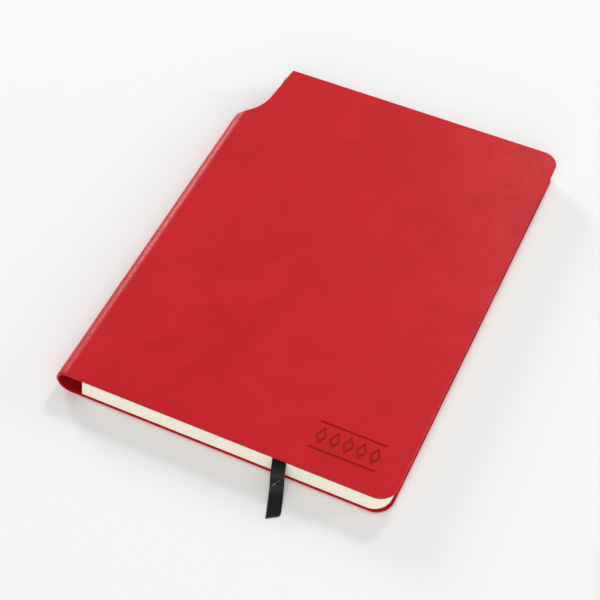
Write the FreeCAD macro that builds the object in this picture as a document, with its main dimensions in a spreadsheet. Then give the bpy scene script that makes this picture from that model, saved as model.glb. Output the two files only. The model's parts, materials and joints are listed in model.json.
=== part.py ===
import FreeCAD, Part
import math
import os
import Sketcher
from FreeCAD import Vector

# A soft-cover notebook, lying on its back cover.
# The cover is one skin that runs over the front panel, round a hollow spine loop, which holds a pen,
# and under the back panel. The pages are sewn in sections and glued at the spine.
# Axes: +X from the spine to the fore-edge, +Y from the tail to the head, +Z up.
# The origin is the middle of the underside. Each outline is drawn from the spine's nose (x = 0) and
# the tail edge (y = 0), and each body's Placement moves it to the origin.

SIZES = [
    ("cover_length", 210, "tail to head"),
    ("front_width", 155, "spine nose to the front panel's fore-edge"),
    ("back_width", 153.7, "spine nose to the back panel's fore-edge"),
    ("book_height", 13, "underside to top"),
    ("corner_radius", 8, "fore-edge corners of covers and pages"),
    ("skin_height", 1, "outer skin"),
    ("skin_rim", 0.5, "rounding of the skin's outer rim"),
    ("board_height", 0.4, "stiffener board, let into the skin"),
    ("board_inset", 3, "board inside the cover's edge"),
    ("lining_height", 0.3, "inner lining of the cover"),
    ("lining_inset", 0.5, "lining inside the cover's edge"),
    ("hinge_from_nose", 12.5, "line where a panel leaves the spine loop"),
    ("notch_foot", 170, "foot of the thumb notch's round, which lies past the nose"),
    ("notch_radius", 20, "hollow round corner of the notch"),
    ("notch_slope", 0.095, "lean of the notch's upper edge, x for each y"),
    ("notch_hinge", 191, "where the notch's upper edge meets the hinge line"),
    ("notch_overrun", 10, "cut of the notch past the head, the top and the underside"),
    ("apex_radius", 1, "rounded tip of a panel at the head of the notch"),
    ("pages_left", 12.1, "spine fold of the lowest page"),
    ("pages_width", 140.3, "spine fold to fore-edge of a page"),
    ("pages_lean", 0.125, "shift of the page stack, x for each z"),
    ("pages_inset", 0.7, "pages inside the cover at head and tail"),
    ("endpaper_height", 0.15, "pastedown or flyleaf"),
    ("pastedown_inset", 2, "pastedown inside the page outline"),
    ("section_height", 0.79, "eight leaves, folded and sewn"),
    ("section_count", 11, "whole sections under the first"),
    ("leaf_pitch", 0.09875, "one leaf of the first section"),
    ("leaf_height", 0.09, "paper of one leaf"),
    ("ribbon_gap", 0.3, "room for the ribbon between two leaves"),
    ("turning_gap", 0.05, "leaves that turn, from the spine glue"),
    ("glue_width", 0.35, "spine glue"),
    ("mull_width", 0.1, "gauze over the glue"),
    ("mull_inset", 12, "gauze short of the page ends"),
    ("liner_width", 0.2, "paper strip over the gauze"),
    ("liner_inset", 4, "paper strip short of the page ends"),
    ("thread_width", 0.25, "sewing thread across the folds, in the glue"),
    ("thread_length", 0.8, "sewing thread along the spine"),
    ("thread_count", 6, "sewing stations"),
    ("thread_first", 18, "first station from the tail"),
    ("thread_span", 172, "first station to last"),
    ("ribbon_width", 6, "satin bookmark"),
    ("ribbon_height", 0.2, "satin bookmark"),
]

# The ribbon's middle line, in the part's own frame: glued at the head of the spine, between the
# fourth and fifth leaves, out at the tail, over the edge and on along the surface below.
RIBBON_ROUTE = [
    (-61.1, 99.5, 10.845),
    (-35.3, 50.9, 10.845),
    (-12.1, 1.1, 10.845),
    (8.7, -50.4, 10.845),
    (19.5, -78.8, 10.845),
    (25.1, -95.5, 10.845),
    (29.33, -109.09, 10.845),
    (30.67, -113.23, 0.15),
    (34.21, -124.12, 0.15),
]
BEND_SHARE = 0.45  # part of each straight run that a bend of the ribbon may take
TURNING_LEAVES = 4  # leaves above the ribbon
LEAVES_IN_SECTION = 8
NEAR = 1e-4  # millimetres

doc = FreeCAD.newDocument("notebook")
sheet = doc.addObject("Spreadsheet::Sheet", "sizes")
for row, (alias, value, note) in enumerate(SIZES, start=1):
    sheet.set(f"A{row}", note)
    sheet.set(f"B{row}", str(value))
    sheet.setAlias(f"B{row}", alias)
doc.recompute()

subparts = []


def value_of(formula):
    """The number that an expression over the sheet gives."""
    return float(sheet.evalExpression(formula))


def new_body(label):
    """An empty body, moved so that the origin is the middle of the underside."""
    body = doc.addObject("PartDesign::Body", label)
    body.Label = label
    body.setExpression("Placement.Base.x", "-sizes.front_width / 2")
    body.setExpression("Placement.Base.y", "-sizes.cover_length / 2")
    subparts.append(body)
    return body


def sketch_on(body, name, role, level="0"):
    """A sketch on one of the body's own origin planes, raised to a level."""
    sketch = body.newObject("Sketcher::SketchObject", name)
    plane = [item for item in body.Origin.OriginFeatures if item.Role == role][0]
    sketch.AttachmentSupport = [(plane, "")]
    sketch.MapMode = "FlatFace"
    sketch.setExpression("AttachmentOffset.Base.z", level)
    return sketch


def pin(sketch, geometry, position, across, up):
    """Ties a point to the sketch's origin with two bound distances."""
    for kind, formula in (("DistanceX", across), ("DistanceY", up)):
        if formula is not None:
            distance = Sketcher.Constraint(kind, -1, 1, geometry, position, value_of(formula))
            index = sketch.addConstraint(distance)
            sketch.setExpression(f"Constraints[{index}]", formula)


def draw(sketch, points, arcs=None):
    """A closed outline through the points. arcs maps an edge's number to its centre and sense."""
    arcs = arcs or {}
    places = [Vector(value_of(across), value_of(up), 0) for across, up in points]
    for number, start in enumerate(places):
        end = places[(number + 1) % len(places)]
        if number in arcs:
            across, up, turns_left = arcs[number]
            centre = Vector(value_of(across), value_of(up), 0)
            first, last = (start, end) if turns_left else (end, start)
            angles = [math.atan2(tip.y - centre.y, tip.x - centre.x) for tip in (first, last)]
            circle = Part.Circle(centre, Vector(0, 0, 1), (start - centre).Length)
            sketch.addGeometry(Part.ArcOfCircle(circle, angles[0], angles[1]))
            pin(sketch, number, 3, across, None)
        else:
            sketch.addGeometry(Part.LineSegment(start, end))
    for number, (across, up) in enumerate(points):
        follower = (number + 1) % len(points)
        tail_end = 1 if number in arcs and not arcs[number][2] else 2
        head_end = 2 if follower in arcs and not arcs[follower][2] else 1
        joint = Sketcher.Constraint("Coincident", number, tail_end, follower, head_end)
        sketch.addConstraint(joint)
        pin(sketch, follower, head_end, points[follower][0], points[follower][1])


def pad(body, sketch, name, length, reverse=False, lean=None):
    """A pad of the sketch, along a leaning direction where the pages are shifted."""
    feature = body.newObject("PartDesign::Pad", name)
    feature.Profile = sketch
    feature.setExpression("Length", length)
    feature.Reversed = reverse
    if lean:
        feature.UseCustomVector = True
        feature.AlongSketchNormal = True
        feature.Direction = Vector(value_of(lean), 0, 1)
        feature.setExpression("Direction.x", lean)
    sketch.Visibility = False
    return feature


def pocket(body, sketch, name, length, reverse=False, both_ways=False):
    """A cut of the sketch, which has to take material away."""
    doc.recompute()
    before = body.Shape.Volume
    feature = body.newObject("PartDesign::Pocket", name)
    feature.Profile = sketch
    feature.setExpression("Length", length)
    feature.Reversed = reverse
    feature.Midplane = both_ways
    doc.recompute()
    if body.Shape.Volume > before - NEAR:
        raise RuntimeError(f"{body.Label}: {name} cuts nothing")
    return feature


def fillet(body, name, radius, wanted):
    """Rounds the edges of the body's tip that the test picks."""
    doc.recompute()
    base = body.Tip
    names = [f"Edge{n}" for n, edge in enumerate(base.Shape.Edges, start=1) if wanted(edge)]
    if not names:
        raise RuntimeError(f"{body.Label}: {name} finds no edge")
    feature = body.newObject("PartDesign::Fillet", name)
    feature.Base = (base, names)
    feature.setExpression("Radius", radius)
    return feature


# Heights of the stack, from the underside up.
BACK_INSIDE = "(sizes.skin_height + sizes.lining_height)"
FRONT_INSIDE = f"(sizes.book_height - {BACK_INSIDE})"
BACK_FLYLEAF = f"({BACK_INSIDE} + sizes.endpaper_height)"
LAST_SECTION = f"({BACK_FLYLEAF} + sizes.endpaper_height)"
FIFTH_LEAF = f"({LAST_SECTION} + sizes.section_count * sizes.section_height)"
FOURTH_LEAF = f"({FIFTH_LEAF} + {TURNING_LEAVES} * sizes.leaf_pitch + sizes.ribbon_gap)"
FRONT_FLYLEAF = f"({FOURTH_LEAF} + {TURNING_LEAVES} * sizes.leaf_pitch)"
FRONT_PASTEDOWN = f"({FRONT_INSIDE} - sizes.endpaper_height)"
FRONT_SKIN = "(sizes.book_height - sizes.skin_height)"

# The thumb notch at the head of the loop: a hollow round, then a leaning edge up to the panel's tip.
NOTCH_REACH = "(sizes.notch_radius / sqrt(1 + sizes.notch_slope ^ 2))"
NOTCH_CENTRE_Y = "(sizes.notch_foot + sizes.notch_radius)"
NOTCH_EDGE_AT_CENTRE = (
    f"(sizes.hinge_from_nose + sizes.notch_slope * ({NOTCH_CENTRE_Y} - sizes.notch_hinge))"
)
NOTCH_CENTRE_X = f"({NOTCH_EDGE_AT_CENTRE} - sizes.notch_radius * sqrt(1 + sizes.notch_slope ^ 2))"


def notch_edge(along):
    """Where the notch's leaning edge lies, at a distance from the tail."""
    return f"sizes.hinge_from_nose + sizes.notch_slope * ({along} - sizes.notch_hinge)"


def draw_notch(sketch):
    """The notch, as an outline that runs past the head and the nose."""
    top = "sizes.cover_length + sizes.notch_overrun"
    points = [
        (NOTCH_CENTRE_X, "sizes.notch_foot"),
        (f"{NOTCH_CENTRE_X} + {NOTCH_REACH}", f"{NOTCH_CENTRE_Y} - {NOTCH_REACH} * sizes.notch_slope"),
        (notch_edge(top), top),
        (NOTCH_CENTRE_X, top),
    ]
    draw(sketch, points, {0: (NOTCH_CENTRE_X, NOTCH_CENTRE_Y, True)})


def draw_leaf(sketch, left, right, tail, head, radius):
    """A leaf or board: square at the spine, round at both fore-edge corners."""
    points = [
        (left, tail),
        (f"{right} - {radius}", tail),
        (right, f"{tail} + {radius}"),
        (right, f"{head} - {radius}"),
        (f"{right} - {radius}", head),
        (left, head),
    ]
    arcs = {
        1: (f"{right} - {radius}", f"{tail} + {radius}", True),
        3: (f"{right} - {radius}", f"{head} - {radius}", True),
    }
    draw(sketch, points, arcs)


def draw_panel(sketch, fore_edge, inset):
    """A cover panel from the hinge line to its fore-edge, with the notch's leaning edge."""
    right = f"({fore_edge} - {inset})"
    head = f"(sizes.cover_length - {inset})"
    radius = f"(sizes.corner_radius - {inset})"
    points = [
        ("sizes.hinge_from_nose", inset),
        (f"{right} - {radius}", inset),
        (right, f"{inset} + {radius}"),
        (right, f"{head} - {radius}"),
        (f"{right} - {radius}", head),
        (notch_edge(head), head),
        ("sizes.hinge_from_nose", "sizes.notch_hinge"),
    ]
    arcs = {
        1: (f"{right} - {radius}", f"{inset} + {radius}", True),
        3: (f"{right} - {radius}", f"{head} - {radius}", True),
    }
    draw(sketch, points, arcs)


def draw_board(sketch, fore_edge):
    """The stiffener board's outline, inside the panel by its inset."""
    draw_leaf(
        sketch,
        "sizes.hinge_from_nose + sizes.board_inset",
        f"({fore_edge} - sizes.board_inset)",
        "sizes.board_inset",
        "(sizes.cover_length - sizes.board_inset)",
        "(sizes.corner_radius - sizes.board_inset)",
    )


def cover_panel(side, fore_edge, skin_floor, board_floor, lining_floor, outer_face):
    """One panel of the cover: skin with a recess, board and lining."""
    skin = new_body(f"{side}_cover_skin")
    plan = sketch_on(skin, f"{side}_plan", "XY_Plane", skin_floor)
    draw_panel(plan, fore_edge, "0")
    pad(skin, plan, f"{side}_sheet", "sizes.skin_height")
    recess = sketch_on(skin, f"{side}_recess_plan", "XY_Plane", board_floor)
    draw_board(recess, fore_edge)
    pocket(skin, recess, f"{side}_recess", "sizes.board_height", reverse=True)

    apex = value_of(notch_edge("sizes.cover_length"))
    head = value_of("sizes.cover_length")
    hinge = value_of("sizes.hinge_from_nose")
    face = value_of(outer_face)

    def at_apex(edge):
        return all(abs(v.X - apex) < NEAR and abs(v.Y - head) < NEAR for v in edge.Vertexes)

    def on_rim(edge):
        flat = all(abs(v.Z - face) < NEAR for v in edge.Vertexes)
        return flat and not all(abs(v.X - hinge) < NEAR for v in edge.Vertexes)

    fillet(skin, f"{side}_tip", "sizes.apex_radius", at_apex)
    fillet(skin, f"{side}_rim", "sizes.skin_rim", on_rim)

    board = new_body(f"{side}_cover_board")
    plan = sketch_on(board, f"{side}_board_plan", "XY_Plane", board_floor)
    draw_board(plan, fore_edge)
    pad(board, plan, f"{side}_board_sheet", "sizes.board_height")

    lining = new_body(f"{side}_cover_lining")
    plan = sketch_on(lining, f"{side}_lining_plan", "XY_Plane", lining_floor)
    draw_panel(plan, fore_edge, "sizes.lining_inset")
    pad(lining, plan, f"{side}_lining_sheet", "sizes.lining_height")


def spine_shell(label, outside, thickness):
    """A C-shaped wall round the nose, as long as the cover, cut by the notch."""
    body = new_body(label)
    centre = "sizes.book_height / 2"
    top = f"(sizes.book_height - {outside})"
    inside = f"({outside} + {thickness})"
    points = [
        ("sizes.hinge_from_nose", top),
        (centre, top),
        (centre, outside),
        ("sizes.hinge_from_nose", outside),
        ("sizes.hinge_from_nose", inside),
        (centre, inside),
        (centre, f"sizes.book_height - {inside}"),
        ("sizes.hinge_from_nose", f"sizes.book_height - {inside}"),
    ]
    profile = sketch_on(body, f"{label}_profile", "XZ_Plane")
    draw(profile, points, {1: (centre, centre, True), 5: (centre, centre, False)})
    pad(body, profile, f"{label}_wall", "sizes.cover_length", reverse=True)
    plan = sketch_on(body, f"{label}_notch_plan", "XY_Plane")
    draw_notch(plan)
    reach = "2 * (sizes.book_height + sizes.notch_overrun)"
    pocket(body, plan, f"{label}_notch", reach, both_ways=True)


def page_left(level):
    """Spine fold of a page, which shifts with its height in the stack."""
    return f"(sizes.pages_left + sizes.pages_lean * ({level} - {BACK_INSIDE}))"


def paper(label, level, height, inset="0", spine_gap="0"):
    """A leaf, a section or an endpaper, at its place in the leaning stack."""
    body = new_body(label)
    left = page_left(level)
    plan = sketch_on(body, f"{label}_plan", "XY_Plane", level)
    draw_leaf(
        plan,
        f"({left} + {inset} + {spine_gap})",
        f"({left} + sizes.pages_width - {inset})",
        f"(sizes.pages_inset + {inset})",
        f"(sizes.cover_length - sizes.pages_inset - {inset})",
        f"(sizes.corner_radius - {inset})",
    )
    pad(body, plan, f"{label}_sheet", height, lean="sizes.pages_lean")


def spine_strip(label, gap, width, inset="0"):
    """A strip along the folds, from the back flyleaf up to the front flyleaf."""
    body = new_body(label)
    right = f"({page_left(BACK_FLYLEAF)} - {gap})"
    tail = f"sizes.pages_inset + {inset}"
    head = f"sizes.cover_length - sizes.pages_inset - {inset}"
    points = [(f"{right} - {width}", tail), (right, tail), (right, head), (f"{right} - {width}", head)]
    plan = sketch_on(body, f"{label}_plan", "XY_Plane", BACK_FLYLEAF)
    draw(plan, points)
    pad(body, plan, f"{label}_sheet", f"{FRONT_FLYLEAF} - {BACK_FLYLEAF}", lean="sizes.pages_lean")
    return body


def sewing():
    """Thread at each sewing station, which links all the folds from back to front."""
    body = new_body("binding_threads")
    body.AllowCompound = True
    right = page_left(BACK_FLYLEAF)
    points = [
        (f"{right} - sizes.thread_width", "sizes.thread_first"),
        (right, "sizes.thread_first"),
        (right, "sizes.thread_first + sizes.thread_length"),
        (f"{right} - sizes.thread_width", "sizes.thread_first + sizes.thread_length"),
    ]
    plan = sketch_on(body, "thread_plan", "XY_Plane", BACK_FLYLEAF)
    draw(plan, points)
    stitch = pad(body, plan, "thread", f"{FRONT_FLYLEAF} - {BACK_FLYLEAF}", lean="sizes.pages_lean")
    stations = body.newObject("PartDesign::LinearPattern", "stations")
    stations.Originals = [stitch]
    stations.Direction = (plan, ["V_Axis"])
    stations.setExpression("Length", "sizes.thread_span")
    stations.setExpression("Occurrences", "sizes.thread_count")
    body.Tip = stations
    return body


def spine_glue(threads):
    """The glue between the folds and the gauze, with the threads let into it."""
    layer = spine_strip("glue_layer", "0", "sizes.glue_width")
    subparts.remove(layer)
    glue = doc.addObject("Part::Cut", "spine_glue")
    glue.Label = "spine_glue"
    glue.Base = layer
    glue.Tool = threads
    subparts.append(glue)


def ribbon_path(points):
    """Straight runs joined by tangent arcs, each as large as its two runs allow."""
    edges = []
    start = points[0]
    for before, corner, after in zip(points, points[1:], points[2:]):
        come = (corner - before).normalize()
        leave = (after - corner).normalize()
        turn = come.getAngle(leave)
        reach = BEND_SHARE * min((corner - before).Length, (after - corner).Length)
        radius = reach / math.tan(turn / 2)
        print(f"ribbon bend: {math.degrees(turn):.1f} degrees, radius {radius:.1f} mm")
        bend_start = corner - come * reach
        bend_end = corner + leave * reach
        middle = corner + (leave - come).normalize() * (radius / math.cos(turn / 2) - radius)
        edges.append(Part.LineSegment(start, bend_start).toShape())
        edges.append(Part.Arc(bend_start, middle, bend_end).toShape())
        start = bend_end
    edges.append(Part.LineSegment(start, points[-1]).toShape())
    return Part.Wire(edges)


def ribbon():
    """The satin bookmark, one flat strip from its glued end to its free end."""
    points = [Vector(*place) for place in RIBBON_ROUTE]
    path = ribbon_path(points)
    width = value_of("sizes.ribbon_width")
    height = value_of("sizes.ribbon_height")
    heading = (points[1] - points[0]).normalize()
    side = heading.cross(Vector(0, 0, 1)) * (width / 2)
    rise = Vector(0, 0, height / 2)
    corners = [points[0] + side + rise, points[0] - side + rise,
               points[0] - side - rise, points[0] + side - rise]
    section = Part.makePolygon(corners + corners[:1])
    strip = path.makePipeShell([section], True, False)
    expected = width * height * path.Length
    print(f"ribbon: length {path.Length:.1f} mm, volume {strip.Volume:.2f} of {expected:.2f} mm3")
    bookmark = doc.addObject("Part::Feature", "ribbon")
    bookmark.Label = "ribbon"
    bookmark.Shape = strip
    bookmark.Placement = FreeCAD.Placement()
    subparts.append(bookmark)


cover_panel("back", "sizes.back_width", "0", "sizes.skin_height - sizes.board_height",
            "sizes.skin_height", "0")
cover_panel("front", "sizes.front_width", FRONT_SKIN, FRONT_SKIN, FRONT_INSIDE, "sizes.book_height")
spine_shell("spine_loop_skin", "0", "sizes.skin_height")
spine_shell("spine_loop_lining", "sizes.skin_height", "sizes.lining_height")

paper("back_pastedown", BACK_INSIDE, "sizes.endpaper_height", inset="sizes.pastedown_inset")
paper("back_flyleaf", BACK_FLYLEAF, "sizes.endpaper_height")
section_count = int(value_of("sizes.section_count"))
for index in range(section_count):
    level = f"({LAST_SECTION} + {index} * sizes.section_height)"
    paper(f"section_{section_count + 1 - index:02d}", level, "sizes.section_height")
for index in range(LEAVES_IN_SECTION - TURNING_LEAVES):
    level = f"({FIFTH_LEAF} + {index} * sizes.leaf_pitch)"
    paper(f"leaf_{LEAVES_IN_SECTION - index:02d}", level, "sizes.leaf_height")
for index in range(TURNING_LEAVES):
    level = f"({FOURTH_LEAF} + {index} * sizes.leaf_pitch)"
    paper(f"leaf_{TURNING_LEAVES - index:02d}", level, "sizes.leaf_height",
          spine_gap="sizes.turning_gap")
paper("front_flyleaf", FRONT_FLYLEAF, "sizes.endpaper_height", spine_gap="sizes.turning_gap")
paper("front_pastedown", FRONT_PASTEDOWN, "sizes.endpaper_height", inset="sizes.pastedown_inset")

spine_glue(sewing())
spine_strip("spine_mull", "sizes.glue_width", "sizes.mull_width", inset="sizes.mull_inset")
spine_strip("spine_liner", "(sizes.glue_width + sizes.mull_width)", "sizes.liner_width",
            inset="sizes.liner_inset")
ribbon()
doc.recompute()

for item in doc.Objects:
    if "Invalid" in item.State or "Error" in item.State:
        raise RuntimeError(f"{item.Label} did not recompute: {item.State}")
for item in subparts:
    if item.Shape.isNull() or not item.Shape.isValid():
        raise RuntimeError(f"{item.Label} has no valid shape")

os.makedirs("parts", exist_ok=True)
for item in subparts:
    item.Shape.exportStep(f"parts/{item.Label}.step")
    box = item.Shape.BoundBox
    print(f"{item.Label}: {len(item.Shape.Solids)} solid, {item.Shape.Volume:.1f} mm3, "
          f"x {box.XMin:.2f} {box.XMax:.2f}, y {box.YMin:.2f} {box.YMax:.2f}, "
          f"z {box.ZMin:.3f} {box.ZMax:.3f}")
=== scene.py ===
import json
import math
import random
import bmesh
import bpy
from mathutils import Matrix, Vector


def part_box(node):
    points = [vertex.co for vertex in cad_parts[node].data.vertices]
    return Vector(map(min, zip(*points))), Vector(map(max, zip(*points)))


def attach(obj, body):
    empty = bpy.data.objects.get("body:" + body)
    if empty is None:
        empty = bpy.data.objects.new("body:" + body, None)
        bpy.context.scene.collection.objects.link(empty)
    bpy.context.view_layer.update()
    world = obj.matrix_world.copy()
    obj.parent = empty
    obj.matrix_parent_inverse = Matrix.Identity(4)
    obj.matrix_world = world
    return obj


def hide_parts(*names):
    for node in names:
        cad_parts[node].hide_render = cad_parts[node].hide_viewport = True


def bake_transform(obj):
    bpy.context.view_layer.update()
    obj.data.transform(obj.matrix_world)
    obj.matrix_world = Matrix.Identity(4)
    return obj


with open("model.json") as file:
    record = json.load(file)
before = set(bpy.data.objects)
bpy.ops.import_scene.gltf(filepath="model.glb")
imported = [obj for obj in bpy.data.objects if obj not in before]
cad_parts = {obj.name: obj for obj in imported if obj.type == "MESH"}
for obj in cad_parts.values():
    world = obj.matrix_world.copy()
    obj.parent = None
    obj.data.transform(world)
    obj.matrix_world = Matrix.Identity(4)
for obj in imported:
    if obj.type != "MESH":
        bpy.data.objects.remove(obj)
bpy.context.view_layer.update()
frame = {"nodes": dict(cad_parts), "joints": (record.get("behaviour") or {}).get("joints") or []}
hinge = next(joint for joint in frame["joints"] if joint["name"] == "front_cover_hinge")

# ---------------------------------------------------------------------------------------------
# Camera: a short telephoto lens on a 36 mm sensor, looking down at the closed notebook from its
# tail, a little from the fore-edge side. Lengths in the whole file are metres, and mm is a
# thousandth of that.
mm = 0.001
camera_turn = math.radians(24.2936)
camera_tilt = math.radians(51.78)
camera_roll = math.radians(0.6013)
camera_data = bpy.data.cameras.new("camera")
camera_data.sensor_width = 36
camera_data.lens = 91.34
camera = bpy.data.objects.new("camera", camera_data)
camera.location = (0.171916, -0.404677, 0.539777)
aim = Matrix.Rotation(camera_turn, 3, "Z") @ Matrix.Rotation(math.pi / 2 - camera_tilt, 3, "X")
camera.rotation_euler = (aim @ Matrix.Rotation(camera_roll, 3, "Z")).to_euler()
bpy.context.scene.collection.objects.link(camera)
bpy.context.scene.camera = camera
bpy.context.scene.view_settings.view_transform = "Standard"

# ---------------------------------------------------------------------------------------------
# Ribbon marker: a 6 mm black satin ribbon, glued at the head of the spine, laid between two
# leaves, and hanging out at the tail over the edge. Its end is cut a little askew, and it has one
# diagonal crease, with a painted highlight along it.
ribbon_width = 6 * mm
ribbon_height = 0.2 * mm
ribbon_route = [
    (-0.0611, 0.0995, 0.010845),
    (-0.0353, 0.0509, 0.010845),
    (-0.0121, 0.0011, 0.010845),
    (0.0087, -0.0504, 0.010845),
    (0.0195, -0.0788, 0.010845),
    (0.0251, -0.0955, 0.010845),
    (0.02933, -0.10909, 0.010845),
    (0.03067, -0.11323, 0.00015),
    (0.03421, -0.12412, 0.00015),
]
cut_skew = 0.27
cut_round = 1.3 * mm
crease_place = 15.5 * mm
crease_slope = -0.73
crease_width = 0.35 * mm
crease_rise = 0.12 * mm
crease_highlight_core = 0.05 * mm
crease_highlight_reach = 0.45 * mm
crease_highlight_break_size = 1.1 * mm
fray_start = 0.15 * mm
fray_reach = 0.5 * mm
satin_patch = 4 * mm
rib_pitch = 0.35 * mm
rib_depth = 0.03 * mm
lanes = 16
row_step = 0.5 * mm


def linear(code):
    """A colour given as an sRGB hex code, in the linear values that a shader takes."""
    shares = [int(code[place:place + 2], 16) / 255 for place in (1, 3, 5)]
    return [c / 12.92 if c <= 0.04045 else ((c + 0.055) / 1.055) ** 2.4 for c in shares] + [1]


def node(material, kind, inputs=None, **settings):
    """Adds a node. inputs maps a socket to a value or to the output that feeds it."""
    made = material.node_tree.nodes.new(kind)
    for name, value in settings.items():
        setattr(made, name, value)
    for socket, value in (inputs or {}).items():
        if isinstance(value, bpy.types.NodeSocket):
            material.node_tree.links.new(value, made.inputs[socket])
        else:
            made.inputs[socket].default_value = value
    return made


def new_material(name):
    """An empty node material and its surface's shader."""
    material = bpy.data.materials.new(name)
    material.use_nodes = True
    material.node_tree.nodes.clear()
    shader = node(material, "ShaderNodeBsdfPrincipled")
    node(material, "ShaderNodeOutputMaterial", {"Surface": shader.outputs["BSDF"]})
    return material, shader


def feed(material, shader, socket, output):
    """Links an output to one of the shader's sockets."""
    material.node_tree.links.new(output, shader.inputs[socket])


def wear(piece, material):
    """Gives a piece its material."""
    piece.data.materials.clear()
    piece.data.materials.append(material)


# Black polyester satin: floats of fine yarn along the ribbon give a soft sheen, the crease has a
# painted highlight, a pale broken line where the fold catches light, and the cut end frays. The
# real ribs across are near 0.1 mm apart, too fine to show, so they are drawn at 0.35 mm. A wave
# texture of scale 1 repeats every 2 pi / 20.
satin, satin_shader = new_material("black_polyester_satin")
satin_shader.inputs["Roughness"].default_value = 0.5
satin_shader.inputs["Specular IOR Level"].default_value = 0.22
satin_shader.inputs["Sheen Weight"].default_value = 0.05
satin_shader.inputs["Sheen Roughness"].default_value = 0.4
satin_map = node(satin, "ShaderNodeUVMap", uv_map="ribbon_map")
satin_axes = node(satin, "ShaderNodeSeparateXYZ", {"Vector": satin_map.outputs["UV"]})
# Painted highlight: a pale line along the crease, broken by noise, stands in for the light the fold
# catches.
crease_line = node(satin, "ShaderNodeMath", {0: satin_axes.outputs["X"], 1: crease_slope},
                   operation="MULTIPLY")
crease_from_end = node(satin, "ShaderNodeMath",
                       {0: satin_axes.outputs["Y"], 1: crease_line.outputs[0]}, operation="ADD")
crease_gap = node(satin, "ShaderNodeMath", {0: crease_from_end.outputs[0], 1: crease_place},
                  operation="SUBTRACT")
crease_far = node(satin, "ShaderNodeMath", {0: crease_gap.outputs[0]}, operation="ABSOLUTE")
crease_mask = node(satin, "ShaderNodeMapRange",
                   {"Value": crease_far.outputs[0], "From Min": crease_highlight_core, "From Max": crease_highlight_reach,
                    "To Min": 1, "To Max": 0})
crease_highlight_noise = node(satin, "ShaderNodeTexNoise",
                   {"Vector": satin_map.outputs["UV"], "Scale": 1 / crease_highlight_break_size, "Detail": 3})
crease_highlight_breaks = node(satin, "ShaderNodeMapRange",
                    {"Value": crease_highlight_noise.outputs["Fac"], "From Min": 0.45, "From Max": 0.7})
painted_crease_highlight = node(satin, "ShaderNodeMath",
                   {0: crease_mask.outputs[0], 1: crease_highlight_breaks.outputs[0]}, operation="MULTIPLY")
satin_tone = node(satin, "ShaderNodeTexNoise",
                  {"Vector": satin_map.outputs["UV"], "Scale": 1 / satin_patch, "Detail": 2})
satin_cloth = node(satin, "ShaderNodeMix",
                   {"Factor": satin_tone.outputs["Fac"], "A": linear("#070706"),
                    "B": linear("#11110f")}, data_type="RGBA")
satin_colour = node(satin, "ShaderNodeMix",
                    {"Factor": painted_crease_highlight.outputs[0], "A": satin_cloth.outputs["Result"],
                     "B": linear("#8f8d84")}, data_type="RGBA")
cut_edge = node(satin, "ShaderNodeMapRange",
                {"Value": satin_axes.outputs["Y"], "From Min": fray_start,
                 "From Max": fray_reach, "To Min": 0.6, "To Max": 0})
cut_colour = node(satin, "ShaderNodeMix",
                  {"Factor": cut_edge.outputs[0], "A": satin_colour.outputs["Result"],
                   "B": linear("#9c978a")}, data_type="RGBA")
feed(satin, satin_shader, "Base Color", cut_colour.outputs["Result"])
rib_wave = node(satin, "ShaderNodeTexWave",
                {"Vector": satin_map.outputs["UV"], "Scale": 2 * math.pi / (20 * rib_pitch),
                 "Distortion": 0.6, "Detail": 1}, bands_direction="Y")
rib_bump = node(satin, "ShaderNodeBump",
                {"Height": rib_wave.outputs["Fac"], "Strength": 0.25, "Distance": rib_depth})
feed(satin, satin_shader, "Normal", rib_bump.outputs["Normal"])

route_curve = bpy.data.curves.new("ribbon_route", "CURVE")
route_curve.dimensions = "3D"
route_curve.resolution_u = 40
spline = route_curve.splines.new("NURBS")
spline.points.add(len(ribbon_route) - 1)
for point, place in zip(spline.points, ribbon_route):
    point.co = (*place, 1)
spline.order_u = 3
spline.use_endpoint_u = True
route_object = bpy.data.objects.new("ribbon_route", route_curve)
bpy.context.scene.collection.objects.link(route_object)
route_mesh = bpy.data.meshes.new_from_object(route_object)
route_line = [vertex.co.copy() for vertex in route_mesh.vertices]
bpy.data.objects.remove(route_object)
bpy.data.meshes.remove(route_mesh)


def along(line, distance):
    """The point and the heading at a distance along a line of points."""
    for start, end in zip(line, line[1:]):
        heading = (end - start).normalized()
        if distance <= (end - start).length:
            return start + heading * distance, heading
        distance -= (end - start).length
    return end + heading * distance, heading


line_length = sum((end - start).length for start, end in zip(route_line, route_line[1:]))
row_count = int(line_length / row_step)
strip = bmesh.new()
strip_map = strip.loops.layers.uv.new("ribbon_map")
rows = []
for row in range(row_count + 1):
    row_points = []
    for lane in range(lanes + 1):
        across = (lane / lanes - 0.5) * ribbon_width
        past_round = max(0.0, abs(across) - (ribbon_width / 2 - cut_round)) if across > 0 else 0.0
        lane_end = (line_length - cut_skew * across
                    - (cut_round - math.sqrt(cut_round ** 2 - past_round ** 2)))
        reached = lane_end * row / row_count
        place, heading = along(route_line, reached)
        side = Vector((-heading.y, heading.x, 0)).normalized()
        up = heading.cross(side)
        from_end = lane_end - reached
        off_crease = abs(from_end + crease_slope * across - crease_place)
        rise = crease_rise * math.exp(-(off_crease / crease_width) ** 2)
        row_points.append((strip.verts.new(place + side * across + up * rise), across, from_end))
    rows.append(row_points)
for near, far in zip(rows, rows[1:]):
    for lane in range(lanes):
        corners = [near[lane], near[lane + 1], far[lane + 1], far[lane]]
        face = strip.faces.new([corner[0] for corner in corners])
        face.smooth = True
        for loop, corner in zip(face.loops, corners):
            loop[strip_map].uv = (corner[1], corner[2])
ribbon_mesh = bpy.data.meshes.new("ribbon_marker")
strip.to_mesh(ribbon_mesh)
strip.free()
ribbon = bpy.data.objects.new("ribbon_marker", ribbon_mesh)
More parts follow.
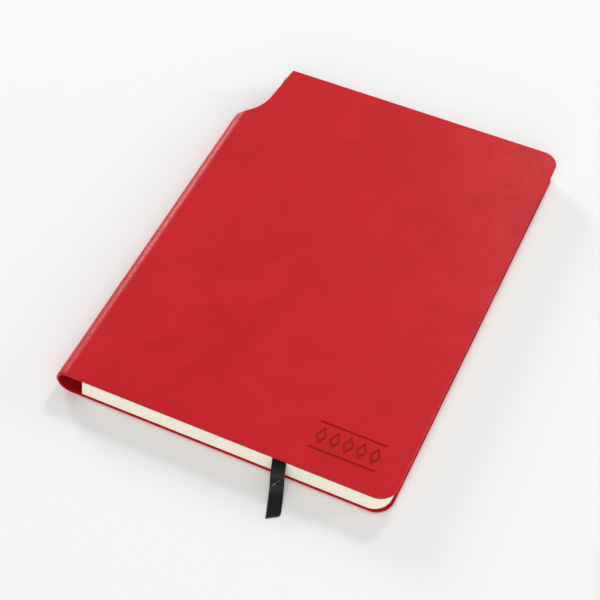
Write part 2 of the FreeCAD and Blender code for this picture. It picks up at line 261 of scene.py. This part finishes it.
bpy.context.scene.collection.objects.link(ribbon)


def only(piece):
    """Selects one piece and makes it the active one."""
    bpy.ops.object.select_all(action="DESELECT")
    piece.select_set(True)
    bpy.context.view_layer.objects.active = piece


def apply_modifier(piece, kind, **settings):
    """Adds a modifier with its settings and applies it."""
    only(piece)
    modifier = piece.modifiers.new(kind.lower(), kind)
    for name, value in settings.items():
        setattr(modifier, name, value)
    bpy.ops.object.modifier_apply(modifier=modifier.name)


apply_modifier(ribbon, "SOLIDIFY", thickness=ribbon_height, offset=0)
wear(ribbon, satin)
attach(ribbon, "book")
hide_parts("ribbon")

# ---------------------------------------------------------------------------------------------
# Cover skin: one sheet of red synthetic leather, cut with a thumb notch at the head of the spine.
# It runs over the front panel, round the hollow loop that holds a pen, and under the book as the
# back panel. Its rim is rounded, and each panel has a recess inside for its stiffener board.
nose, tail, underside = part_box("spine_loop_skin")[0]
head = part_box("front_cover_skin")[1].y
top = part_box("front_cover_skin")[1].z
front_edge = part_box("front_cover_skin")[1].x
back_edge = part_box("back_cover_skin")[1].x
skin_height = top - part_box("front_cover_skin")[0].z
hinge_line = hinge["pos_m"][0]
loop_radius = top / 2
loop_centre = nose + loop_radius
corner_radius = 8 * mm
notch_foot = tail + 170 * mm
notch_hinge = tail + 191 * mm
notch_radius = 20 * mm
notch_slope = 0.095
tip_radius = 1 * mm
rim_radius = 0.7 * mm
rim_turn = math.radians(50)
bend_width = 3 * mm
bend_strips = 6
spare = 1 * mm
touching = 0.01 * mm
near_loop = 0.05 * mm
arc_step = math.radians(6)
loop_steps = 36
smooth_up_to = math.radians(40)


def arc(centre, radius, start, end):
    """Points on a round stretch of an outline, from one angle to another in radians."""
    steps = max(2, round(abs(end - start) / arc_step))
    angles = [start + (end - start) * step / steps for step in range(steps + 1)]
    return [(centre[0] + radius * math.cos(a), centre[1] + radius * math.sin(a)) for a in angles]


def cover_outline(edge, inset, radius):
    """Loop and panel in plan: round fore-edge corners, and the notch at the head of the loop."""
    low, high, left, right = tail + inset, head - inset, nose - spare, edge - inset
    lean = math.atan(notch_slope)
    points = [(left, low)]
    points += arc((right - radius, low + radius), radius, -math.pi / 2, 0)
    points += arc((right - radius, high - radius), radius, 0, math.pi / 2)
    tip_y = high - tip_radius
    tip_x = hinge_line + notch_slope * (tip_y - notch_hinge) + tip_radius / math.cos(lean)
    points += arc((tip_x, tip_y), tip_radius, math.pi / 2, math.pi - lean)
    hollow_y = notch_foot + notch_radius
    hollow_x = hinge_line + notch_slope * (hollow_y - notch_hinge) - notch_radius / math.cos(lean)
    reach = math.acos((left - hollow_x) / notch_radius)
    return points + arc((hollow_x, hollow_y), notch_radius, -lean, -reach)


def thicken(height):
    """Raises the flat face that is being edited into a closed solid, and leaves edit mode."""
    bpy.ops.mesh.select_all(action="SELECT")
    bpy.ops.mesh.extrude_region_move(TRANSFORM_OT_translate={"value": (0, 0, height)})
    bpy.ops.mesh.select_all(action="SELECT")
    bpy.ops.mesh.normals_make_consistent(inside=False)
    bpy.ops.object.mode_set(mode="OBJECT")


def sheet(name, low, high, radius=0):
    """A flat sheet that fills a box: square at the spine, round at both fore-edge corners."""
    bpy.ops.object.select_all(action="DESELECT")
    bpy.ops.mesh.primitive_plane_add(
        size=1, location=((low.x + high.x) / 2, (low.y + high.y) / 2, low.z))
    piece = bpy.context.object
    piece.name = name
    piece.data.name = name
    piece.scale = (high.x - low.x, high.y - low.y, 1)
    bpy.ops.object.transform_apply(location=True, rotation=True, scale=True)
    bpy.ops.object.mode_set(mode="EDIT")
    if radius:
        bpy.ops.mesh.select_mode(type="VERT")
        bpy.ops.mesh.select_all(action="DESELECT")
        mesh = bmesh.from_edit_mesh(piece.data)
        for vertex in mesh.verts:
            vertex.select_set(vertex.co.x > (low.x + high.x) / 2)
        bmesh.update_edit_mesh(piece.data)
        bpy.ops.mesh.bevel(offset=radius, segments=round(math.pi / 2 / arc_step),
                           affect="VERTICES", clamp_overlap=False)
    thicken(high.z - low.z)
    return piece


def plan_cutter(outline):
    """A tall block on an outline of the cover in plan, which trims a sheet to it."""
    mesh = bpy.data.meshes.new("plan_cutter")
    mesh.from_pydata([(x, y, underside - spare) for x, y in outline], [], [range(len(outline))])
    cutter = bpy.data.objects.new("plan_cutter", mesh)
    bpy.context.scene.collection.objects.link(cutter)
    only(cutter)
    bpy.ops.object.mode_set(mode="EDIT")
    thicken(top - underside + 2 * spare)
    return cutter


def trim(piece, tool, operation):
    """Cuts a piece with a tool, or to it, and throws the tool away."""
    apply_modifier(piece, "BOOLEAN", operation=operation, object=tool, solver="EXACT")
    bpy.data.objects.remove(tool)


def pick_edges(piece, wanted):
    """Selects, in edit mode, the edges that a test picks."""
    bpy.ops.mesh.select_all(action="DESELECT")
    bpy.ops.mesh.select_mode(type="EDGE")
    mesh = bmesh.from_edit_mesh(piece.data)
    for edge in mesh.edges:
        if wanted(edge):
            edge.select_set(True)
    bmesh.update_edit_mesh(piece.data)


def wrap(name, thickness, outside):
    """A sheet from the front panel's fore-edge, round the spine loop, to the back hinge."""
    bpy.ops.object.select_all(action="DESELECT")
    middle = top - outside - thickness / 2
    bpy.ops.mesh.primitive_plane_add(
        size=1, location=(front_edge + spare, (tail + head) / 2, middle),
        rotation=(0, math.pi / 2, 0))
    piece = bpy.context.object
    piece.name = name
    piece.data.name = name
    piece.scale = (thickness, head - tail + 2 * spare, 1)
    bpy.ops.object.transform_apply(location=True, rotation=True, scale=True)
    bpy.ops.object.mode_set(mode="EDIT")
    bpy.ops.mesh.select_all(action="SELECT")
    reached = front_edge + spare
    for stop in (hinge_line, loop_centre):
        bpy.ops.mesh.extrude_region_move(TRANSFORM_OT_translate={"value": (stop - reached, 0, 0)})
        reached = stop
    bpy.ops.mesh.spin(steps=loop_steps, angle=math.pi, center=(loop_centre, 0, loop_radius),
                      axis=(0, 1, 0))
    bpy.ops.mesh.extrude_region_move(
        TRANSFORM_OT_translate={"value": (hinge_line - loop_centre, 0, 0)})
    bpy.ops.mesh.select_all(action="SELECT")
    bpy.ops.mesh.remove_doubles(threshold=0.001 * mm)
    bpy.ops.mesh.normals_make_consistent(inside=False)
    bpy.ops.object.mode_set(mode="OBJECT")
    return piece


def on_outside(place):
    """Whether a point lies on the outer face of the cover."""
    if place.x > loop_centre:
        return min(abs(place.z - top), abs(place.z - underside)) < touching
    from_centre = math.hypot(place.x - loop_centre, place.z - loop_radius)
    return from_centre > loop_radius - near_loop


def at_back_hinge(place):
    """Whether a point lies where the loop meets the back panel."""
    return abs(place.x - hinge_line) < touching and place.z < loop_radius


def roll_rim(piece):
    """Rounds the outer rim of a skin, but not where the loop meets the back panel."""
    only(piece)
    bpy.ops.object.mode_set(mode="EDIT")
    pick_edges(piece, lambda edge: (all(on_outside(v.co) for v in edge.verts)
                                    and edge.calc_face_angle(0) > rim_turn
                                    and not all(at_back_hinge(v.co) for v in edge.verts)))
    bpy.ops.mesh.bevel(offset=rim_radius, segments=4, affect="EDGES", clamp_overlap=False)
    bpy.ops.object.mode_set(mode="OBJECT")


def finish_shading(piece):
    """Smooth shading up to an angle, with flat faces kept flat beside rounded rims."""
    only(piece)
    bpy.ops.object.shade_smooth_by_angle(angle=smooth_up_to)
    apply_modifier(piece, "WEIGHTED_NORMAL", keep_sharp=True, weight=100)


def keep_rest_place(piece):
    """Stores each point's place in the closed book, so that patterns don't slide as it bends."""
    places = piece.data.attributes.new("rest_place", "FLOAT_VECTOR", "POINT")
    flat = [number for vertex in piece.data.vertices for number in vertex.co]
    places.data.foreach_set("vector", flat)


def crease(piece, start, width, strips):
    """Cuts a piece into narrow strips, from a place on the x axis, so that it can bend there."""
    only(piece)
    bpy.ops.object.mode_set(mode="EDIT")
    for cut in range(1, strips + 1):
        bpy.ops.mesh.select_all(action="SELECT")
        bpy.ops.mesh.bisect(plane_co=(start + width * cut / strips, 0, 0), plane_no=(1, 0, 0))
    bpy.ops.object.mode_set(mode="OBJECT")


def let_in_board(piece, board):
    """Cuts the shallow recess that the stiffener board lies in."""
    low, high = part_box(board)
    radius = corner_radius - (low.y - tail)
    if high.z > top / 2:
        low.z -= spare
    else:
        high.z += spare
    trim(piece, sheet("recess_cutter", low, high, radius), "DIFFERENCE")


skin = wrap("cover_front_and_spine", skin_height, 0)
trim(skin, plan_cutter(cover_outline(front_edge, 0, corner_radius)), "INTERSECT")
roll_rim(skin)
let_in_board(skin, "front_cover_board")

# The pressed ornament near the fore-edge corner: a plain pattern of five lozenge rings between two
# rules, sunk by a hot die, which darkens the leather.
ornament_left = front_edge - 41.5 * mm
ornament_middle = tail + 17.5 * mm
ornament_width = 30 * mm
lozenge_count = 5
lozenge_half_width = 2.75 * mm
lozenge_half_height = 4.6 * mm
stroke = 1.15 * mm
press_depth = 0.35 * mm
die_taper = 0.9
rule_gap = 6.6 * mm
lip = 0.14 * mm
darkened_from = 0.1 * mm
spacing = ornament_width / lozenge_count

for index in range(lozenge_count):
    bpy.ops.object.select_all(action="DESELECT")
    bpy.ops.mesh.primitive_cone_add(
        vertices=4, radius1=die_taper, radius2=1 / die_taper, depth=2 * press_depth,
        location=(ornament_left + (index + 0.5) * spacing, ornament_middle, top))
    die = bpy.context.object
    die.scale = (lozenge_half_width, lozenge_half_height, 1)
    bpy.ops.object.transform_apply(location=True, rotation=True, scale=True)
    bpy.ops.object.mode_set(mode="EDIT")
    bpy.ops.mesh.select_mode(type="FACE")
    bpy.ops.mesh.select_all(action="DESELECT")
    die_mesh = bmesh.from_edit_mesh(die.data)
    for face in die_mesh.faces:
        face.select_set(abs(face.normal.z) > 0.9)
    bmesh.update_edit_mesh(die.data)
    bpy.ops.mesh.inset(thickness=stroke, depth=0)
    bpy.ops.mesh.bridge_edge_loops()
    bpy.ops.mesh.select_all(action="SELECT")
    bpy.ops.mesh.normals_make_consistent(inside=False)
    bpy.ops.object.mode_set(mode="OBJECT")
    trim(skin, die, "DIFFERENCE")
for side in (-1, 1):
    bpy.ops.object.select_all(action="DESELECT")
    bpy.ops.mesh.primitive_cube_add(
        size=1,
        location=(ornament_left + ornament_width / 2, ornament_middle + side * rule_gap, top))
    die = bpy.context.object
    die.scale = (ornament_width, stroke, 2 * press_depth)
    bpy.ops.object.transform_apply(location=True, rotation=True, scale=True)
    bpy.ops.object.mode_set(mode="EDIT")
    pick_edges(die, lambda edge: all(v.co.z < top for v in edge.verts))
    bpy.ops.transform.resize(value=(1, 1 - press_depth / stroke, 1))
    bpy.ops.object.mode_set(mode="OBJECT")
    trim(skin, die, "DIFFERENCE")


def in_ornament(place):
    """Whether a point, in plan, lies in the ornament's field."""
    return (ornament_left - spare < place.x < ornament_left + ornament_width + spare
            and abs(place.y - ornament_middle) < rule_gap + spare)


def is_lip(edge):
    """Whether an edge is the upper rim of a pressed stroke."""
    return (all(in_ornament(v.co) and abs(v.co.z - top) < touching for v in edge.verts)
            and edge.calc_face_angle(0) > math.radians(20))


only(skin)
bpy.ops.object.mode_set(mode="EDIT")
pick_edges(skin, is_lip)
bpy.ops.mesh.bevel(offset=lip, segments=2, affect="EDGES", clamp_overlap=True)
bpy.ops.object.mode_set(mode="OBJECT")
crease(skin, hinge_line, bend_width, bend_strips)
pressed = skin.data.attributes.new("pressed", "FLOAT", "FACE")
for face in skin.data.polygons:
    sunk = darkened_from < top - face.center.z < press_depth + touching
    pressed.data[face.index].value = sunk and in_ornament(face.center)
finish_shading(skin)
keep_rest_place(skin)

# Red polyurethane leather: embossed with a very fine pebble grain, dyed through, and polished
# unevenly, so that it is cloudy with darker and paler patches and has a soft satin sheen. The real
# grain is near 0.3 mm, too fine to show, so it is drawn at 0.55 mm.
cloud_size = 30 * mm
fleck_size = 3 * mm
fleck_depth = 0.15 * mm
grain_size = 0.55 * mm
grain_depth = 0.06 * mm
leather, leather_shader = new_material("red_polyurethane_leather")
leather_shader.inputs["IOR"].default_value = 1.45
leather_shader.inputs["Specular IOR Level"].default_value = 0.27
leather_place = node(leather, "ShaderNodeAttribute", attribute_name="rest_place")
leather_clouds = node(leather, "ShaderNodeTexNoise",
                      {"Vector": leather_place.outputs["Vector"], "Scale": 1 / cloud_size,
                       "Detail": 6, "Roughness": 0.65, "Distortion": 0.5})
cloud_levels = node(leather, "ShaderNodeMapRange",
                    {"Value": leather_clouds.outputs["Fac"], "From Min": 0.38, "From Max": 0.62})
leather_tone = node(leather, "ShaderNodeMix",
                    {"Factor": cloud_levels.outputs[0], "A": linear("#bd0613"),
                     "B": linear("#cb0f1d")}, data_type="RGBA")
leather_flecks = node(leather, "ShaderNodeTexNoise",
                      {"Vector": leather_place.outputs["Vector"], "Scale": 1 / fleck_size,
                       "Detail": 7, "Roughness": 0.78})
fleck_levels = node(leather, "ShaderNodeMapRange",
                    {"Value": leather_flecks.outputs["Fac"], "From Min": 0.3, "From Max": 0.7,
                     "To Min": 0, "To Max": 0.7})
leather_colour = node(leather, "ShaderNodeMix",
                      {"Factor": fleck_levels.outputs[0], "A": leather_tone.outputs["Result"],
                       "B": linear("#b50a15")}, data_type="RGBA")
leather_pressed = node(leather, "ShaderNodeAttribute", attribute_name="pressed")
pressed_colour = node(leather, "ShaderNodeMix",
                      {"Factor": leather_pressed.outputs["Fac"],
                       "A": leather_colour.outputs["Result"], "B": linear("#a3050f")},
                      data_type="RGBA")
feed(leather, leather_shader, "Base Color", pressed_colour.outputs["Result"])
leather_polish = node(leather, "ShaderNodeMapRange",
                      {"Value": leather_flecks.outputs["Fac"], "From Min": 0.3, "From Max": 0.7,
                       "To Min": 0.28, "To Max": 0.5})
feed(leather, leather_shader, "Roughness", leather_polish.outputs[0])
grain_cells = node(leather, "ShaderNodeTexVoronoi",
                   {"Vector": leather_place.outputs["Vector"], "Scale": 1 / grain_size},
                   feature="SMOOTH_F1")
grain_bump = node(leather, "ShaderNodeBump",
                  {"Height": grain_cells.outputs["Distance"], "Strength": 0.4,
                   "Distance": grain_depth})
cloud_bump = node(leather, "ShaderNodeBump",
                  {"Height": leather_flecks.outputs["Fac"], "Strength": 0.5,
                   "Distance": fleck_depth, "Normal": grain_bump.outputs["Normal"]})
feed(leather, leather_shader, "Normal", cloud_bump.outputs["Normal"])
wear(skin, leather)
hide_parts("front_cover_skin", "spine_loop_skin")
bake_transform(skin)

back_skin = sheet("back_panel", Vector((hinge_line, tail - spare, underside)),
                  Vector((back_edge + spare, head + spare, underside + skin_height)))
trim(back_skin, plan_cutter(cover_outline(back_edge, 0, corner_radius)), "INTERSECT")
roll_rim(back_skin)
let_in_board(back_skin, "back_cover_board")
finish_shading(back_skin)
keep_rest_place(back_skin)
wear(back_skin, leather)
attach(back_skin, "book")
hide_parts("back_cover_skin")

# ---------------------------------------------------------------------------------------------
# Cover lining: a thinner, smoother sheet of synthetic leather, glued inside the skin and cut a
# little short of its rim. Its red is painted darker than the skin's, as painted shade for the
# inside of the pen loop. One piece lines the front panel and the pen channel, and another lines
# the back panel.
lining_low, lining_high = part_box("front_cover_lining")
lining_height = lining_high.z - lining_low.z
lining_inset = 0.5 * mm
lining = wrap("cover_lining_sheet", lining_height, skin_height)
trim(lining, plan_cutter(cover_outline(front_edge, lining_inset, corner_radius - lining_inset)),
     "INTERSECT")
crease(lining, hinge_line, bend_width, bend_strips)
finish_shading(lining)
keep_rest_place(lining)

# Smooth polyurethane lining: matt, with a fine even grain, in reds painted darker than the skin's
# as painted shade for the inside of the pen loop. The real grain is near 0.2 mm, too fine to show,
# so it is drawn at 0.4 mm.
lining_patch = 6 * mm
lining_grain = 0.4 * mm
lining_depth = 0.05 * mm
lining_leather_with_painted_shade, lining_shader = new_material("painted_shade_dark_red_lining")
lining_shader.inputs["Roughness"].default_value = 0.6
lining_shader.inputs["Specular IOR Level"].default_value = 0.2
lining_place = node(lining_leather_with_painted_shade, "ShaderNodeTexCoord")
lining_tone = node(lining_leather_with_painted_shade, "ShaderNodeTexNoise",
                   {"Vector": lining_place.outputs["Object"], "Scale": 1 / lining_patch,
                    "Detail": 4})
# Painted shade: both reds are darker than the skin's, standing in for the shade inside the pen
# loop.
lining_colour_with_painted_shade = node(lining_leather_with_painted_shade, "ShaderNodeMix",
                     {"Factor": lining_tone.outputs["Fac"], "A": linear("#94060f"),
                      "B": linear("#a80a16")}, data_type="RGBA")
feed(lining_leather_with_painted_shade, lining_shader, "Base Color", lining_colour_with_painted_shade.outputs["Result"])
lining_pores = node(lining_leather_with_painted_shade, "ShaderNodeTexNoise",
                    {"Vector": lining_place.outputs["Object"], "Scale": 1 / lining_grain,
                     "Detail": 2})
lining_bump = node(lining_leather_with_painted_shade, "ShaderNodeBump",
                   {"Height": lining_pores.outputs["Fac"], "Strength": 0.2,
                    "Distance": lining_depth})
feed(lining_leather_with_painted_shade, lining_shader, "Normal", lining_bump.outputs["Normal"])
wear(lining, lining_leather_with_painted_shade)
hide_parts("front_cover_lining", "spine_loop_lining")
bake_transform(lining)
wear(frame["nodes"]["back_cover_lining"], lining_leather_with_painted_shade)

# ---------------------------------------------------------------------------------------------
# Pages: cream writing paper, folded and sewn in twelve sections of eight leaves, and cut flush,
# though no two leaves are trimmed quite alike. The first section is made leaf by leaf, because
# its upper four leaves turn with the front cover.
random.seed(4)
leaf_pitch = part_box("leaf_07")[0].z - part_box("leaf_08")[0].z
leaf_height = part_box("leaf_08")[1].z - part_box("leaf_08")[0].z
leaves_in_section = 8
first_whole, last_whole = 2, 12
shift_in_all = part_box("section_02")[0].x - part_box("section_12")[0].x
leaf_lean = shift_in_all / (last_whole - first_whole) / leaves_in_section
page_radius = 8 * mm
trim_play = 0.05 * mm
gutter_width = 3.5 * mm
gutter_strips = 8
rule_pitch = 7 * mm
rule_width = 0.25 * mm
rule_strength = 0.55
ruled_middle_x = 7.5 * mm
ruled_middle_y = -6 * mm
ruled_half_width = 64 * mm
ruled_half_length = 88 * mm
fibre_size = 0.8 * mm
fibre_depth = 0.03 * mm

# Uncoated cream paper: soft, matt and faintly fibrous, printed with pale grey ruled lines. Real
# fibres are near 0.03 mm wide, too fine to show, so the mottle they make is drawn at 0.8 mm.
paper, paper_shader = new_material("cream_writing_paper")
paper_shader.inputs["Roughness"].default_value = 0.85
paper_place = node(paper, "ShaderNodeAttribute", attribute_name="rest_place")
paper_fibre = node(paper, "ShaderNodeTexNoise",
                   {"Vector": paper_place.outputs["Vector"], "Scale": 1 / fibre_size, "Detail": 4,
                    "Roughness": 0.7})
paper_tone = node(paper, "ShaderNodeMix",
                  {"Factor": paper_fibre.outputs["Fac"], "A": linear("#f0ecda"),
                   "B": linear("#f7f4e5")}, data_type="RGBA")
paper_axes = node(paper, "ShaderNodeSeparateXYZ", {"Vector": paper_place.outputs["Vector"]})
rule_beat = node(paper, "ShaderNodeMath", {0: paper_axes.outputs["Y"], 1: rule_pitch / 2},
                 operation="PINGPONG")
rule_hit = node(paper, "ShaderNodeMath", {0: rule_beat.outputs[0], 1: rule_width / 2},
                operation="LESS_THAN")
rule_shift = node(paper, "ShaderNodeMath", {0: paper_axes.outputs["X"], 1: ruled_middle_x},
                  operation="SUBTRACT")
rule_across = node(paper, "ShaderNodeMath", {0: rule_shift.outputs[0]}, operation="ABSOLUTE")
rule_width_range = node(paper, "ShaderNodeMath", {0: rule_across.outputs[0], 1: ruled_half_width},
                        operation="LESS_THAN")
rule_up = node(paper, "ShaderNodeMath", {0: paper_axes.outputs["Y"], 1: ruled_middle_y},
               operation="SUBTRACT")
rule_along = node(paper, "ShaderNodeMath", {0: rule_up.outputs[0]}, operation="ABSOLUTE")
rule_length_range = node(paper, "ShaderNodeMath",
                         {0: rule_along.outputs[0], 1: ruled_half_length}, operation="LESS_THAN")
rule_field = node(paper, "ShaderNodeMath",
                  {0: rule_width_range.outputs[0], 1: rule_length_range.outputs[0]},
                  operation="MULTIPLY")
rule_mask = node(paper, "ShaderNodeMath", {0: rule_hit.outputs[0], 1: rule_field.outputs[0]},
                 operation="MULTIPLY")
rule_ink = node(paper, "ShaderNodeMath", {0: rule_mask.outputs[0], 1: rule_strength},
                operation="MULTIPLY")
paper_colour = node(paper, "ShaderNodeMix",
                    {"Factor": rule_ink.outputs[0], "A": paper_tone.outputs["Result"],
                     "B": linear("#a7a89f")}, data_type="RGBA")
feed(paper, paper_shader, "Base Color", paper_colour.outputs["Result"])
paper_bump = node(paper, "ShaderNodeBump",
                  {"Height": paper_fibre.outputs["Fac"], "Strength": 0.25,
                   "Distance": fibre_depth})
feed(paper, paper_shader, "Normal", paper_bump.outputs["Normal"])


def cut_leaf(name, cad_node):
    """One sheet in its CAD node's box, trimmed with a little play."""
    low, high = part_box(cad_node)
    play = Vector((random.uniform(-1, 1), random.uniform(-1, 1), 0)) * trim_play
    leaf = sheet(name, low + play, high + play, page_radius)
    keep_rest_place(leaf)
    return leaf


def gather(name, leaves):
    """Joins leaves into one folded section."""
    bpy.ops.object.select_all(action="DESELECT")
    for leaf in leaves:
        leaf.select_set(True)
    bpy.context.view_layer.objects.active = leaves[0]
    bpy.ops.object.join()
    section = bpy.context.object
    section.name = name
    section.data.name = name
    return section


for number in range(first_whole, last_whole + 1):
    cad_node = f"section_{number:02d}"
    low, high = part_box(cad_node)
    fold_play = random.uniform(-1, 1) * trim_play
    leaves = []
    leaf_width = high.x - low.x - leaves_in_section * leaf_lean
    for index in range(leaves_in_section):
        play_x = random.uniform(-1, 1) * trim_play + fold_play
        play_y = random.uniform(-1, 1) * trim_play
        leaf_low = Vector((low.x + index * leaf_lean, low.y + play_y, low.z + index * leaf_pitch))
        leaf_high = Vector((leaf_low.x + leaf_width + play_x, high.y + play_y,
                            leaf_low.z + leaf_height))
        leaves.append(sheet("leaf", leaf_low, leaf_high, page_radius))
    section = gather(f"page_section_{number:02d}", leaves)
    keep_rest_place(section)
    wear(section, paper)
    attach(section, "book")
    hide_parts(cad_node)

for number in range(8, 4, -1):
    cad_node = f"leaf_{number:02d}"
    leaf = cut_leaf(f"page_leaf_{number:02d}", cad_node)
    wear(leaf, paper)
    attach(leaf, "book")
    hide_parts(cad_node)


def turn_leaf(leaf):
    """Cuts a leaf into narrow strips beside the gutter, smooths its shading and bakes in its place.
    """
    left = min(vertex.co.x for vertex in leaf.data.vertices)
    crease(leaf, left, gutter_width, gutter_strips)
    bpy.ops.object.shade_smooth_by_angle(angle=math.radians(50))
    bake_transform(leaf)


for number in range(4, 0, -1):
    cad_node = f"leaf_{number:02d}"
    leaf = cut_leaf(f"page_leaf_{number:02d}", cad_node)
    wear(leaf, paper)
    turn_leaf(leaf)
    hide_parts(cad_node)

# ---------------------------------------------------------------------------------------------
# Endpapers: heavier plain paper. A flyleaf lies loose at each end of the pages, and a pastedown
# is glued inside each panel. As in the pages, the mottle is coarser than the real fibres.
endpaper_fibre_size = 1.2 * mm
endpaper_fibre_depth = 0.04 * mm
endpaper, endpaper_shader = new_material("heavy_cream_endpaper")
endpaper_shader.inputs["Roughness"].default_value = 0.8
endpaper_place = node(endpaper, "ShaderNodeTexCoord")
endpaper_fibre = node(endpaper, "ShaderNodeTexNoise",
                      {"Vector": endpaper_place.outputs["Object"], "Scale": 1 / endpaper_fibre_size,
                       "Detail": 5, "Roughness": 0.7})
endpaper_colour = node(endpaper, "ShaderNodeMix",
                       {"Factor": endpaper_fibre.outputs["Fac"], "A": linear("#efe8d0"),
                        "B": linear("#f6f0dc")}, data_type="RGBA")
feed(endpaper, endpaper_shader, "Base Color", endpaper_colour.outputs["Result"])
endpaper_bump = node(endpaper, "ShaderNodeBump",
                     {"Height": endpaper_fibre.outputs["Fac"], "Strength": 0.3,
                      "Distance": endpaper_fibre_depth})
feed(endpaper, endpaper_shader, "Normal", endpaper_bump.outputs["Normal"])
flyleaf = cut_leaf("front_flyleaf_sheet", "front_flyleaf")
wear(flyleaf, endpaper)
turn_leaf(flyleaf)
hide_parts("front_flyleaf")
for name in ("front_pastedown", "back_pastedown", "back_flyleaf"):
    wear(frame["nodes"][name], endpaper)

# ---------------------------------------------------------------------------------------------
# Spine and stiffeners: waxed thread through the folds, set in white glue, a strip of cotton gauze
# and a strip of dark red paper over it, and a thin grey board inside each panel.


def plain_finish(name, dark, light, roughness, pattern_size, relief):
    """A quiet surface with a fine two-tone mottle, for pieces that are almost hidden."""
    material, shader = new_material(name)
    shader.inputs["Roughness"].default_value = roughness
    place = node(material, "ShaderNodeTexCoord")
    mottle = node(material, "ShaderNodeTexNoise",
                  {"Vector": place.outputs["Object"], "Scale": 1 / pattern_size, "Detail": 4})
    colour = node(material, "ShaderNodeMix",
                  {"Factor": mottle.outputs["Fac"], "A": linear(dark), "B": linear(light)},
                  data_type="RGBA")
    feed(material, shader, "Base Color", colour.outputs["Result"])
    bump = node(material, "ShaderNodeBump",
                {"Height": mottle.outputs["Fac"], "Strength": 0.4, "Distance": relief})
    feed(material, shader, "Normal", bump.outputs["Normal"])
    return material


# Yarns, weaves and fibres are drawn a few times coarser than the real ones, so that they show.
hidden_finishes = [
    # Waxed linen thread: undyed, round and slightly glossy.
    ("waxed_linen_thread", "#b9b29c", "#d8d2bd", 0.6, 0.3 * mm, 0.08 * mm,
     "thread", ["binding_threads"]),
    # Dried white glue: off-white, smooth and uneven.
    ("dried_binding_glue", "#d9d4c0", "#eae6d6", 0.4, 1.5 * mm, 0.1 * mm, "glue", ["spine_glue"]),
    # Cotton gauze: an open, matt weave.
    ("cotton_gauze", "#cfcab8", "#e6e2d4", 0.9, 0.6 * mm, 0.1 * mm, "gauze", ["spine_mull"]),
    # Dyed spine paper: dark red, matt and faintly fibrous.
    ("dark_red_spine_paper", "#6f0a12", "#8a101a", 0.8, 1.0 * mm, 0.04 * mm,
     "spine_paper", ["spine_liner"]),
    # Grey board: pressed waste paper, with a coarse mottle.
    ("grey_board", "#8d8878", "#a8a392", 0.9, 1.2 * mm, 0.05 * mm,
     "board", ["front_cover_board", "back_cover_board"]),
]
for name, dark, light, roughness, pattern_size, relief, slot_name, nodes in hidden_finishes:
    finish = plain_finish(name, dark, light, roughness, pattern_size, relief)
    for cad_node in nodes:
        wear(frame["nodes"][cad_node], finish)

# ---------------------------------------------------------------------------------------------
# Studio: a plain pale floor under an even white sky. One soft light behind the head gives the
# cover its sheen, one fills from the tail, and two low ones draw the spine and the fore-edge.
floor_size = 30
bpy.ops.object.select_all(action="DESELECT")
bpy.ops.mesh.primitive_plane_add(size=floor_size, location=(0, 0, 0))
floor = bpy.context.object
floor.name = "studio_floor"
floor_paint, floor_shader = new_material("pale_studio_floor")
floor_shader.inputs["Base Color"].default_value = linear("#f2f2f2")
floor_shader.inputs["Roughness"].default_value = 0.9
floor_shader.inputs["Specular IOR Level"].default_value = 0.1
floor.data.materials.append(floor_paint)

world = bpy.data.worlds.new("studio_sky")
world.use_nodes = True
world.node_tree.nodes["Background"].inputs["Color"].default_value = linear("#ffffff")
world.node_tree.nodes["Background"].inputs["Strength"].default_value = 0.55
bpy.context.scene.world = world


def soft_light(name, place, size, power):
    """A square softbox that faces the notebook."""
    light_data = bpy.data.lights.new(name, "AREA")
    light_data.size = size
    light_data.energy = power
    light = bpy.data.objects.new(name, light_data)
    light.location = place
    light.rotation_euler = (-Vector(place)).to_track_quat("-Z", "Y").to_euler()
    bpy.context.scene.collection.objects.link(light)


soft_light("key_softbox", (0.15, 1.8, 1.7), 0.38, 11.8)
soft_light("front_softbox", (0.62, -2.1, 1.25), 2.0, 29)
soft_light("spine_softbox", (-1.5, 1.05, 0.68), 0.5, 13)
soft_light("edge_softbox", (1.6, 0.95, 0.55), 0.4, 7)
